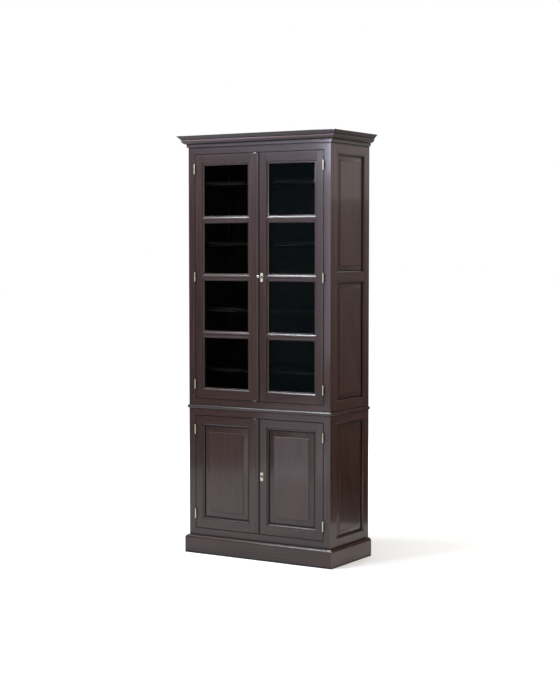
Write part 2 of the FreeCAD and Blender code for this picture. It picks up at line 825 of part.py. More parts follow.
def hinge_leaf(name, side, owned):
    """One leaf of a butt hinge whose pin stands on the origin; side is -1 for the case, 1 for the door."""
    half = "hinge_length / 2"
    near, far = f"{side} * hinge_play", f"{side} * (hinge_play + hinge_leaf_thickness)"
    x = (far, near) if side < 0 else (near, far)
    plate = box(name + "_plate", x, ("hinge_stand_off", "hinge_stand_off + hinge_leaf"), (f"-{half}", half))
    solids = [plate]
    for number in owned:
        low = f"(hinge_length * ({number} / {KNUCKLES} - 0.5) + {1 if number else 0} * hinge_play / 2)"
        high = (f"(hinge_length * ({number + 1} / {KNUCKLES} - 0.5)"
                f" - {1 if number < KNUCKLES - 1 else 0} * hinge_play / 2)")
        solids.append(box(f"{name}_tongue_{number}", x, ("0", "hinge_stand_off"), (low, high)))
        solids.append(slim_round(f"{name}_knuckle_{number}", "knuckle_radius", low, f"{high} - {low}"))
    return solids


def case_hinge_leaf():
    """The leaf on the post, with the pin riveted into its knuckles."""
    pin = slim_round("hinge_pin", "hinge_pin_radius", "-hinge_length / 2", "hinge_length")
    return join("case_leaf", hinge_leaf("case_leaf", -1, (0, 2, 4)) + [pin])


def door_hinge_leaf():
    """The leaf on the door, which turns on the pin: even at its flats the bore clears the pin's corners."""
    blank = join("door_leaf_blank", hinge_leaf("door_leaf", 1, (1, 3)))
    bore = slim_round("door_leaf_bore", f"(hinge_pin_radius + bore_play) / cos(180 / {ROUND_SIDES})",
                      "-hinge_length / 2", "hinge_length")
    return cut("door_leaf", blank, [bore])


def hinge_levels():
    """The heights of the hinges' middles on the upper and on the lower doors."""
    def ends(door):
        return [f"({door[0]} + hinge_inset)", f"({door[1]} - hinge_inset)"]

    upper = ends(UPPER_DOOR)
    return {"upper": [upper[0], f"(({UPPER_DOOR[0]} + {UPPER_DOOR[1]}) / 2)", upper[1]], "lower": ends(LOWER_DOOR)}


def hinge_set(name, source, levels):
    return group(name, [
        copy(f"{name}_{number}", source, HINGE_X, HINGE_Y, level) for number, level in enumerate(levels)
    ])


def leaf_recesses(name, side, levels):
    """The shallow recesses that the leaves are let into, in a post or in a hinge stile."""
    edge = f"({HINGE_X} + {side} * (hinge_play + hinge_leaf_thickness))"
    x = (edge, HINGE_X) if side < 0 else (HINGE_X, edge)
    return group(name, [
        box(f"{name}_{number}", x, (FRONT, f"{FRONT} + hinge_leaf"),
            (f"{level} - hinge_length / 2", f"{level} + hinge_length / 2"))
        for number, level in enumerate(levels)
    ])


# ---- locks ------------------------------------------------------------------------------------------------

def keyhole(name, level, radius, slot, y, length):
    """A keyhole through a plate, as a solid to cut away: a round eye with a slot below it."""
    eye = cylinder(name + "_eye", radius, LOCK_X, y, level, length, "y")
    below = box(name + "_slot", (f"{LOCK_X} - {slot} / 2", f"{LOCK_X} + {slot} / 2"), (y, f"{y} + {length}"),
                (f"{level} - keyhole_drop", level))
    return join(name, [eye, below])


def lock(name, level):
    """A cut lock in the meeting stile of a right door: case, bolt, escutcheon and the voids they need."""
    lock_edge = f"(-{DOOR_INNER})"
    lock_front = f"({FRONT} + lock_setback)"
    case_x = (lock_edge, f"{lock_edge} + lock_width")
    case_z = (f"{level} - lock_height / 2", f"{level} + lock_height / 2")
    shell = box(name + "_shell", case_x, (lock_front, DOOR_BACK), case_z)
    bolt_z = (f"({level} + bolt_rise)", f"({level} + bolt_rise + bolt_height)")
    bolt_y = (f"({FRONT} + bolt_setback)", f"({FRONT} + bolt_setback + bolt_thickness)")
    bolt_x = (f"({lock_edge} + bolt_edge)", f"({lock_edge} + bolt_edge + bolt_length)")
    channel = box(name + "_channel", (lock_edge, f"{bolt_x[1]} + slide_play"),
                  (f"{bolt_y[0]} - slide_play", f"{bolt_y[1]} + slide_play"),
                  (f"{bolt_z[0]} - slide_play", f"{bolt_z[1]} + slide_play"))
    chamber = box(name + "_chamber", (f"{LOCK_X} - chamber_reach", f"{LOCK_X} + chamber_reach"),
                  (f"{lock_front} + lock_wall", f"{DOOR_BACK} - lock_wall"),
                  (f"{level} - chamber_reach", f"{level} + chamber_reach"))
    key_slot = keyhole(name + "_case_keyhole", level, "key_radius + bore_play", "keyhole_slot", lock_front,
                       "lock_wall")
    case = cut(name + "_case_body", shell, [channel, chamber, key_slot])
    bolt = box(name + "_bolt_bar", bolt_x, bolt_y, bolt_z)
    plate_y = f"({FRONT} - escutcheon_thickness)"
    plate = cut(name + "_escutcheon_body", escutcheon(name, level), [
        keyhole(name + "_plate_keyhole", level, "keyhole_radius", "keyhole_slot", plate_y,
                "escutcheon_thickness")
    ])
    passage = keyhole(name + "_stile_keyhole", level, "keyhole_radius", "keyhole_slot", FRONT, "lock_setback")
    mortise = box(name + "_mortise", case_x, (lock_front, DOOR_BACK), case_z)
    bead_edge = f"({DOOR_INNER} + meeting_bead)"
    strike = box(name + "_strike", (f"{bead_edge} - bolt_travel", bead_edge),
                 (f"{bolt_y[0]} - slide_play", f"{bolt_y[1]} + slide_play"),
                 (f"{bolt_z[0]} - slide_play", f"{bolt_z[1]} + slide_play"))
    return {"case": case, "bolt": bolt, "escutcheon": plate, "voids": [mortise, passage], "strike": strike}


def escutcheon(name, level):
    """A long brass plate with rounded ends, whose middle is a little below the eye of the keyhole."""
    body = new_body(name + "_plate")
    drawn = sketch(body, name + "_plate_outline", "XZ", f"-{FRONT}")
    left, right = f"({LOCK_X} - escutcheon_width / 2)", f"({LOCK_X} + escutcheon_width / 2)"
    middle = f"({level} - escutcheon_drop)"
    shoulder = "(escutcheon_height / 2 - escutcheon_width / 4)"
    outline(drawn, [
        (left, f"{middle} - {shoulder}"),
        (right, f"{middle} - {shoulder}"),
        (right, f"{middle} + {shoulder}"),
        (left, f"{middle} + {shoulder}"),
    ], {0: ("escutcheon_width * 0.625", 1), 2: ("escutcheon_width * 0.625", 1)})
    pad(body, drawn, "escutcheon_thickness")
    return body


def key(level):
    """The key in the upper lock: bow, collar, shank and bit."""
    bow_y = f"({FRONT} - key_reach + bow_radius)"
    bow = cut("key_bow", cylinder("key_bow_disc", "bow_radius", f"{LOCK_X} - bow_thickness / 2", bow_y, level,
                                  "bow_thickness", "x"),
              [cylinder("key_bow_hole", "bow_hole_radius", f"{LOCK_X} - bow_thickness / 2", bow_y, level,
                        "bow_thickness", "x")])
    shank_front = f"({bow_y} + (bow_radius + bow_hole_radius) / 2)"
    shank = cylinder("key_shank", "key_radius", LOCK_X, shank_front, level,
                     f"{FRONT} + key_depth - {shank_front}", "y")
    collar_y = f"({FRONT} - escutcheon_thickness - 2 * collar_length)"
    collar = cylinder("key_collar", "collar_radius", LOCK_X, collar_y, level, "collar_length", "y")
    bit = box("key_bit", (f"{LOCK_X} - bit_thickness / 2", f"{LOCK_X} + bit_thickness / 2"),
              (f"{FRONT} + key_depth - bit_length", f"{FRONT} + key_depth"), (f"{level} - bit_drop", level))
    return join("key_body", [bow, shank, collar, bit])


# ---- flush bolts ------------------------------------------------------------------------------------------

def flush_bolt(name, end, up):
    """A flush bolt at one end of a left door's meeting stile; up is 1 at its top and -1 at its bottom."""
    def span(first, last):
        """Two distances in from the end of the door, as a low and a high level."""
        levels = (f"({end} - {up} * ({first}))", f"({end} - {up} * ({last}))")
        return levels if up < 0 else levels[::-1]

    def across(width):
        return (f"{FLUSH_X} - {width} / 2", f"{FLUSH_X} + {width} / 2")

    def around(play):
        """The bar's section with some play round it."""
        half = f"(flush_bar / 2 + {play})"
        return across(f"(2 * {half})"), (f"{FLUSH_Y} - {half}", f"{FLUSH_Y} + {half}")

    back_y = (f"{DOOR_BACK} - flush_plate_thickness", DOOR_BACK)
    cap = box(name + "_cap", across("flush_plate_width"), door_depth(), span("0", "flush_plate_thickness"))
    strap = box(name + "_strap", across("flush_plate_width"), back_y, span("0", "flush_plate_length"))
    bar = box(name + "_bar", *around("0"), span("0", "flush_length"))
    knob_z = f"({end} - {up} * knob_level)"
    knob = cylinder(name + "_knob", "knob_radius", FLUSH_X, FLUSH_Y, knob_z,
                    "door_thickness - flush_setback + knob_reach", "y")
    knob_slot = box(name + "_knob_slot", across("2 * (knob_radius + slide_play)"), back_y,
                    span("knob_level - knob_radius - slide_play - flush_travel",
                         "knob_level + knob_radius + slide_play"))
    bar_hole = box(name + "_bar_hole", *around("bore_play"), span("0", "flush_length"))
    channel = box(name + "_channel", across("flush_channel"),
                  (f"{DOOR_BACK} - flush_channel_depth", DOOR_BACK), span("0", "flush_length + flush_channel"))
    keeper = box(name + "_keeper", *around("slide_play"), span("-(flush_keeper_depth + door_gap)", "0"))
    return {
        "plate": cut(name + "_plate", join(name + "_angle", [cap, strap]), [knob_slot, bar_hole]),
        "bolt": join(name + "_slide", [bar, knob]),
        "voids": [cap, strap, channel],
        "keeper": keeper,
    }


# ---- assembly ---------------------------------------------------------------------------------------------

def build():
    levels = hinge_levels()
    locks = {tier: lock(f"{tier}_lock", level) for tier, level in LOCK_LEVEL.items()}
    flush = {
        "upper_left_top": flush_bolt("upper_top", UPPER_DOOR[1], 1),
        "upper_left_bottom": flush_bolt("upper_bottom", UPPER_DOOR[0], -1),
        "lower_left_top": flush_bolt("lower_top", LOWER_DOOR[1], 1),
    }
    case_leaf = case_hinge_leaf()
    door_leaf = door_hinge_leaf()

    plinth()
    waist()
    cornice()
    posts = {
        "lower": face_frame(
            "lower", "0", ("lower_sill - lower_sill_rail", "lower_sill"), (LOWER_HEAD, "waist_level"),
            "waist_level", [flush["lower_left_top"]["keeper"]]),
        "upper": face_frame(
            "upper", WAIST_TOP, (WAIST_TOP, UPPER_SILL), (UPPER_HEAD, CASE_TOP), CASE_TOP,
            [flush["upper_left_top"]["keeper"], flush["upper_left_bottom"]["keeper"]]),
    }
    for tier, blank in posts.items():
        recesses = both_sides(f"{tier}_post_recesses", leaf_recesses(f"{tier}_post_recess", -1, levels[tier]))
        node(cut(f"{tier}_posts_recessed", blank, [recesses]), f"{tier}_posts")

    middle = ("side_middle_level", "side_middle_level + side_middle_rail")
    lower_opening = ("side_sill", "waist_level - side_head_rail")
    upper_openings = [(f"{WAIST_TOP} + side_base_rail", middle[0]), (middle[1], f"{CROWN_BASE} - side_frieze")]
    rings = panelled_side(
        "lower", "0", "waist_level",
        [("side_sill - side_sill_rail", "side_sill", ["top"]), (lower_opening[1], "waist_level", ["bottom"])],
        [lower_opening])
    rings += panelled_side(
        "upper", WAIST_TOP, CASE_TOP,
        [(WAIST_TOP, upper_openings[0][0], ["top"]), (*middle, ["top", "bottom"]),
         (upper_openings[1][1], CASE_TOP, ["bottom"])],
        upper_openings)
    node(both_sides("side_moulding_set", group("side_moulding_right", rings)), "side_panel_mouldings")
    carcass_boards()
    backs()
    node(shelf("lower_shelf_board", "lower_shelf"), "lower_shelf")
    shelves = [shelf(f"shelf_board_{number}", level) for number, level in enumerate(UPPER_SHELVES)]
    node(group("upper_shelf_set", shelves), "upper_shelves")
    shelf_bearers(["lower_shelf"] + UPPER_SHELVES)

    doors = {"upper": glazed_door(), "lower": panelled_door()}
    for tier, pieces in doors.items():
        left_recess = leaf_recesses(f"{tier}_stile_recess", 1, levels[tier])
        stiles = cut(f"{tier}_stiles_recessed", pieces.pop("stiles"), [left_recess])
        bolt_voids = [void for name in flush if name.startswith(tier) for void in flush[name]["voids"]]
        node(cut(f"{tier}_left_stiles_cut", stiles, bolt_voids), f"{tier}_left_door_stiles")
        node(cut(f"{tier}_right_stiles_cut", mirror(f"{tier}_right_stiles", stiles), locks[tier]["voids"]),
             f"{tier}_right_door_stiles")
        for kind, piece in pieces.items():
            name = kind if kind.startswith("gl") else f"door_{kind}"
            node(mirror(f"{tier}_right_{kind}", piece), f"{tier}_right_{name}")
            node(group(f"{tier}_left_{kind}", [piece]), f"{tier}_left_{name}")
        leaves = hinge_set(f"{tier}_left_leaves", door_leaf, levels[tier])
        node(leaves, f"{tier}_left_hinge_leaves")
        node(mirror(f"{tier}_right_leaves", leaves), f"{tier}_right_hinge_leaves")
        door = UPPER_DOOR if tier == "upper" else LOWER_DOOR
        node(meeting_bead(f"{tier}_bead", door, locks[tier]["strike"]), f"{tier}_left_meeting_bead")
        node(locks[tier]["case"], f"{tier}_right_lock_case")
        node(locks[tier]["bolt"], f"{tier}_right_lock_bolt")
        node(locks[tier]["escutcheon"], f"{tier}_right_escutcheon")
        plates = [flush[name]["plate"] for name in flush if name.startswith(tier)]
        node(group(f"{tier}_plates", plates), f"{tier}_left_bolt_plates")
    for name, parts in flush.items():
        node(parts["bolt"], f"{name}_bolt")
    node(key(LOCK_LEVEL["upper"]), "key")

    fixed = [hinge_set(f"{tier}_case_leaves", case_leaf, levels[tier]) for tier in levels]
    node(both_sides("case_hinge_set", group("case_hinges_left", fixed)), "case_hinges")


def check_and_write():
    doc.recompute()
    for thing in doc.Objects:
        failed = {"Invalid", "Error"} & set(thing.State)
        if failed:
            raise RuntimeError(f"{thing.Name} is {', '.join(failed)}")
    os.makedirs("parts", exist_ok=True)
    for thing in nodes:
        shape = thing.Shape
        if shape.isNull() or not shape.isValid() or not shape.Solids:
            raise RuntimeError(f"{thing.Label} has no valid solid")
        shape.exportStep(f"parts/{thing.Label}.step")
        print(f"{thing.Label}: {len(shape.Solids)} solids, {shape.Volume / 1000:.0f} cm3")
    print(len(nodes), "nodes")


build()
check_and_write()
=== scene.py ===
"""Finishes, small fastenings, light and camera for the two-part bookcase with glass doors.

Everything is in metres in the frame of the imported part: +Z up, doors towards -Y, back at +Y.
Lengths marked mm are multiplied by MM where they are used.
"""
import functools
import json
import math

import bmesh
import bpy
from mathutils import Matrix, Vector


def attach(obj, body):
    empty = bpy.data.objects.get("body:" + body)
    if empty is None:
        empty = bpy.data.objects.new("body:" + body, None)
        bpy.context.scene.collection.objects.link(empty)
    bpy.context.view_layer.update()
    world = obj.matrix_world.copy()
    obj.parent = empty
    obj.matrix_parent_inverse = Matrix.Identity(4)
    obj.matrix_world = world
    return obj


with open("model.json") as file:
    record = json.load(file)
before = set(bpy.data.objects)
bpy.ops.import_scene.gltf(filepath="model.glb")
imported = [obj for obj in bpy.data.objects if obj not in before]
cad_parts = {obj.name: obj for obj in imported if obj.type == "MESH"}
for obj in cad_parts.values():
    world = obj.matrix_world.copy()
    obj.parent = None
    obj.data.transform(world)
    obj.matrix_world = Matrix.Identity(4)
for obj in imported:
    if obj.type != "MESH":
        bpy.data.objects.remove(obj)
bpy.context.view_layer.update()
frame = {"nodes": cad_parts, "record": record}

MM = 0.001

# ---- the camera, fitted to the picture's 560 x 700 pixels -------------------------------------------------
CAMERA_PLACE = (4.2325, -6.8634, 1.5834)
CAMERA_TILT = 86.44
CAMERA_TURN = 31.52
CAMERA_LENS = 79.18
SENSOR_LONG_SIDE = 36

# ---- colours, linear; pairs are the darkest and the lightest tone -----------------------------------------
DARK_WOOD = ((0.0165, 0.0074, 0.0060), (0.0400, 0.0178, 0.0138))
# the lighter tone of rubbed arrises: wear, and a painted highlight
WEAR_AND_HIGHLIGHT = (0.085, 0.055, 0.050)
# the cornice's stain, painted darker than the rest for the shade on the cornice
SHADED_CORNICE_WOOD = ((0.0090, 0.0042, 0.0036), (0.0230, 0.0100, 0.0080))
# the lighter tone of the cornice's bead and fascia: wear, and a painted highlight
CORNICE_WEAR_AND_HIGHLIGHT = (0.190, 0.100, 0.115)
# the inside's stain, painted darker for the shade inside the case
SHADED_INSIDE_WOOD = ((0.0035, 0.0022, 0.0019), (0.0090, 0.0052, 0.0042))
BACK_BOARD = ((0.0060, 0.0038, 0.0031), (0.0170, 0.0100, 0.0080))
BRASS = ((0.34, 0.30, 0.21), (0.56, 0.52, 0.42))
# painted shade round keyholes
KEYHOLE_SHADE = (0.030, 0.022, 0.016)
STEEL = ((0.30, 0.29, 0.27), (0.62, 0.60, 0.57))
GRIME = ((0.010, 0.009, 0.007), (0.030, 0.026, 0.020))
GLASS = ((0.90, 0.95, 0.94), (0.94, 0.98, 0.97))
FLOOR = (0.92, 0.92, 0.92)
CARD = ((0.003,) * 3, (0.004,) * 3)
AMBIENT = 0.28
AMBIENT_TINT = (0.86, 0.96, 1.0)

# ---- the surface of wood and metal ------------------------------------------------------------------------
# the range that most values of a noise lie in
NOISE_SPAN = (0.3, 0.7)
# noise scales across and along the grain, per metre, and the figure's share beside the fibres
FIGURE = (24, 1.1)
FIBRES = (260, 6)
PORES = (1500, 45)
FIGURE_SHARE = 0.4
# noise over which the stain turns from its dark to its light tone, and over which pores open
STAIN_SPAN = (0.36, 0.64)
PORE_SPAN = (0.62, 0.72)
# how far a face leans up or down, as its normal's Z, to take a mitred moulding's second grain
LYING_FACE = 0.2
# how the stain differs between solids, and how roughness differs between fibres and between clouds of wear
SOLID_TONES = (-0.05, 0.05)
FIBRE_ROUGHNESS = (-0.03, 0.03)
CLOUD_ROUGHNESS = (-0.04, 0.05)
CLOUDS = 9
# roughness of lacquered and of bare wood, and the lacquer's weight
LACQUERED, BARE = 0.40, 0.6
LACQUER = 0.5
# how much fibres stand up and open pores lie deep in the relief
FIBRE_RISE, PORE_DEPTH = 0.4, 0.6
# rubbed arrises, lighter as wear and as a painted highlight, and painted shade in corners: how far they
# reach, and the nearness over which they set in
RUB_AND_SHEEN_REACH = 3.5 * MM
RUB_AND_SHEEN_SPAN = (0.3, 0.6)
SHADE_REACH = 14 * MM
SHADE_SPAN = (0.05, 0.28)
# tones of pores and of the painted shade as shares of the darkest stain, and how far pores, painted shade and
# rubbing with its painted highlight cover the stain
PORE_TONE, SHADE_TONE = 0.35, 0.06
PORE_COVER, SHADE_COVER, RUB_AND_SHEEN_COVER = 0.55, 0.95, 0.5
# levels between which the cornice's bead and fascia are lightened, as wear and as a painted highlight, and
# how strongly
CORNICE_HIGHLIGHT_BANDS = ((2.1700, 2.1820, 0.8), (2.1425, 2.1550, 0.3))
HIGHLIGHT_BAND_FADE = 2 * MM
# roughness of brass, of the key and of the dirt in screw slots, and how much rougher their dark patches are
SATIN, BRIGHT, DULL = 0.34, 0.22, 0.6
DARK_ROUGHER = 0.12
# noise scales of a metal's patina and hairlines, per metre
PATINA = 160
HAIRLINES = (3000, 3000, 120)
# painted shade round keyholes, a dark patch for the hole's shade: the distances over which it fades, how
# ragged its edge is, and how far it covers
KEYHOLE_SHADE_FADE = (4 * MM, 9 * MM)
KEYHOLE_SHADE_RAGGED = 2 * MM
KEYHOLE_SHADE_COVER = 0.9

# ---- places of joints and hardware, mm --------------------------------------------------------------------
# the joints beside the doors, where the hinge leaves lie, the one between the doors, and the doors' levels
DOOR_JOINT = 389.25
MEETING_JOINT = 8
DOOR_LEVELS = ((135, 735), (825, 2103))
# corners inside the panel mouldings of doors and sides
PANEL_SPAN, PANEL_LEVELS = (63.5, 334.5), (197, 681)
SIDE_SPAN, SIDE_LEVELS = (-103, 161), ((150, 721), (848, 1435), (1500, 2078))
# how deep into them the painted shade of the joints lies, as y at the front and x at the sides, and the
# distances from them over which it fades, with what is added at the joint between the doors and in the doors'
# panels
FRONT_DEPTH, SIDE_DEPTH = -170.5, 420.5
JOINT_SHADE_FADE = (4.0, 0.75)
JOINT_SHADE_WIDER = 1

DOOR_BACK = -156
HINGE_LEVELS = {"upper": (900, 1464, 2028), "lower": (210, 660)}
HINGE_SCREWS = ((-17, -172.5), (0, -166.5), (17, -172.5))
LEAF_PLAY = 0.1
LOCK_LEVELS = {"upper": 1469, "lower": 440}
LOCK_X = 24
LOCK_EDGE = 9.5
LOCK_BACK_SCREWS = ((4, 26), (-14, 14))
LOCK_EDGE_SCREWS = (-15, 16)
LOCK_EDGE_Y = -162
ESCUTCHEON_FRONT = -181.5
ESCUTCHEON_PINS = (-23, 15)
KEYHOLE_DROP = 2.5
FLUSH_X = -20
FLUSH_ENDS = {"upper": ((2102, 1), (826, -1)), "lower": ((734, 1),)}
STRAP_SCREWS = ((-5.4, 5.4), (9, 64))
CAP_SCREW_Y = -174
BEARER_TOPS = (440, 969, 1284, 1628, 1942)
BEARER_FACE = 394
BEARER_SCREWS = (-125, 33, 190)
BEARER_SCREW_DROP = 9

# radius and rise of each kind of head, mm
HINGE_HEAD = (2.6, 0.08)
BEARER_HEAD = (2.6, 0.3)
LOCK_HEAD = (1.8, 0.3)
LOCK_EDGE_HEAD = (1.4, 0.15)
STRAP_HEAD = (1.5, 0.3)
CAP_HEAD = (1.6, 0.1)
PIN_HEAD = (1.1, 0.5)
# how deep heads sit in what they hold, and how far each slot is turned from the last one's, in radians
SUNK = 0.2 * MM
SLOT_TURN = 0.9
# outlines of heads above the surface, as shares of their radius and rise, and the steps round half a screw's
# head and a whole nail's
SCREW_OUTLINE = ((1, 0.5), (0.9, 1))
NAIL_OUTLINE = ((1, 0.3), (0.85, 0.7), (0.5, 1))
HALF_STEPS, RING_STEPS = 10, 12
# half the slot's width and length as shares of the head's radius, and its floor's height as one of the rise
SLOT_WIDTH, SLOT_LENGTH, SLOT_FLOOR = 0.15, 0.97, 0.1


# ---- materials --------------------------------------------------------------------------------------------

# the Mix node's two inputs and its output for each kind of value
MIX_SOCKETS = {"VECTOR": (4, 5, 1), "RGBA": (6, 7, 2)}
# how far apart, in metres, the noise of two solids can lie, so that no two look alike
ISLAND_SHIFT = 7.3


def plug(tree, value, socket):
    """Sets a socket to a value, or links another node's output to it."""
    if isinstance(value, bpy.types.NodeSocket):
        tree.links.new(value, socket)
    else:
        socket.default_value = value


def math_node(tree, operation, first, second=0.0, clamp=False):
    made = tree.nodes.new("ShaderNodeMath")
    made.operation = operation
    made.use_clamp = clamp
    plug(tree, first, made.inputs[0])
    plug(tree, second, made.inputs[1])
    return made.outputs[0]


class Shader:
    """A material's node tree, with short calls to add and join its nodes."""

    def __init__(self, name):
        self.material = bpy.data.materials.new(name)
        self.material.use_nodes = True
        self.tree = self.material.node_tree
        self.surface = self.tree.nodes["Principled BSDF"]

    def add(self, kind, **inputs):
        """A node whose inputs, named with underscores for spaces, are values or other nodes' outputs."""
        made = self.tree.nodes.new("ShaderNode" + kind)
        self.feed(made, **inputs)
        return made

    def feed(self, target, **inputs):
        for name, value in inputs.items():
            plug(self.tree, value, target.inputs[name.replace("_", " ")])

    def math(self, operation, *values, clamp=False):
        return math_node(self.tree, operation, *values, clamp=clamp)

    def vector_math(self, operation, first, second=(0, 0, 0)):
        made = self.tree.nodes.new("ShaderNodeVectorMath")
        made.operation = operation
        plug(self.tree, first, made.inputs[0])
        plug(self.tree, second, made.inputs[1])
        return made

    def noise(self, vector, scale, detail=2.0, roughness=0.5):
        made = self.add("TexNoise", Vector=vector, Scale=scale, Detail=detail, Roughness=roughness)
        return made.outputs["Fac"]

    def stretch(self, vector, scale):
        """The coordinates multiplied axis by axis, so that a noise is drawn out along the smallest scale."""
        return self.vector_math("MULTIPLY", vector, scale).outputs[0]

    def span(self, value, low, high, to_low=0.0, to_high=1.0):
        """to_low where the value is low, to_high where it is high, and between them in between."""
        made = self.add("MapRange", Value=value, From_Min=low, From_Max=high, To_Min=to_low, To_Max=to_high)
        return made.outputs["Result"]

    def mix(self, kind, factor, first, second):
        made = self.tree.nodes.new("ShaderNodeMix")
        made.data_type = kind
        low, high, result = MIX_SOCKETS[kind]
        plug(self.tree, factor, made.inputs["Factor"])
        plug(self.tree, first, made.inputs[low])
        plug(self.tree, second, made.inputs[high])
        return made.outputs[result]

    def blend(self, factor, *colours):
        """A colour between two colours, each a tuple or a socket."""
        opaque = [colour if isinstance(colour, bpy.types.NodeSocket) else (*colour, 1) for colour in colours]
        return self.mix("RGBA", factor, *opaque)

    def nearness(self, reach, inside):
        """0 on an open surface, up to 1 in a corner within reach, or on an arris where inside is set."""
        made = self.add("AmbientOcclusion", Distance=reach)
        made.inside = inside
        made.samples = 8
        return self.math("SUBTRACT", 1.0, made.outputs["AO"], clamp=True)

    def coordinates(self):
        """Places in the piece's own space, which at rest is the frame's."""
        return self.add("TexCoord").outputs["Object"]

    def axes(self):
        return self.add("SeparateXYZ", Vector=self.coordinates()).outputs

    def place(self):
        """Coordinates shifted by a different amount on each separate solid, and that solid's own number."""
        coordinates = self.coordinates()
        island = self.add("NewGeometry").outputs["Random Per Island"]
        shift = self.math("MULTIPLY", island, ISLAND_SHIFT)
        return self.vector_math("ADD", coordinates, shift).outputs[0], island


def darker(colour, share):
    return tuple(part * share for part in colour)


def along_grain(shader, place, axes, scale):
    """Coordinates scaled for a noise that is drawn out along the grain.

    With two axes, as on a mitred moulding, the second one's grain is shown where the face leans up or down.
    """
    across, lengthways = scale
    drawn = [shader.stretch(place, tuple(lengthways if name == axis else across for name in "xyz"))
             for axis in axes]
    if len(drawn) == 1:
        return drawn[0]
    normal = shader.add("TexCoord").outputs["Normal"]
    lean = shader.add("SeparateXYZ", Vector=normal).outputs["Z"]
    lying = shader.math("GREATER_THAN", shader.math("ABSOLUTE", lean), LYING_FACE)
    return shader.mix("VECTOR", lying, *drawn)


def joint_shade_lines(shader):
    """1 on the joints round doors and panels, where shade is painted as dark lines, and 0 a few millimetres
    away.
    """
    x, y, z = shader.axes()

    def outside(value, low, high):
        """How far a value lies outside a span; negative within it."""
        middle = shader.math("SUBTRACT", value, (low + high) / 2 * MM)
        return shader.math("SUBTRACT", shader.math("ABSOLUTE", middle), (high - low) / 2 * MM)

    def all_spans(value, spans):
        return functools.reduce(functools.partial(shader.math, "MINIMUM"),
                                [outside(value, *span) for span in spans])

    def outline(across, up):
        return shader.math("ABSOLUTE", shader.math("MAXIMUM", across, up))

    across = shader.math("ABSOLUTE", x)
    levels = all_spans(z, DOOR_LEVELS)
    doors = outline(outside(x, -DOOR_JOINT, DOOR_JOINT), levels)
    between = shader.math("ABSOLUTE", outside(x, MEETING_JOINT, MEETING_JOINT))
    meeting = shader.math("MAXIMUM", between, levels)
    panels = outline(outside(across, *PANEL_SPAN), outside(z, *PANEL_LEVELS))
    wider = shader.math("SUBTRACT", shader.math("MINIMUM", meeting, panels), JOINT_SHADE_WIDER * MM)
    front = shader.math("MINIMUM", doors, wider)
    front = shader.math("MAXIMUM", front, shader.math("SUBTRACT", y, FRONT_DEPTH * MM))
    sides = outline(outside(y, *SIDE_SPAN), all_spans(z, SIDE_LEVELS))
    sides = shader.math("MAXIMUM", sides, shader.math("SUBTRACT", SIDE_DEPTH * MM, across))
    nearest = shader.math("MINIMUM", front, sides)
    return shader.span(nearest, *(distance * MM for distance in JOINT_SHADE_FADE))


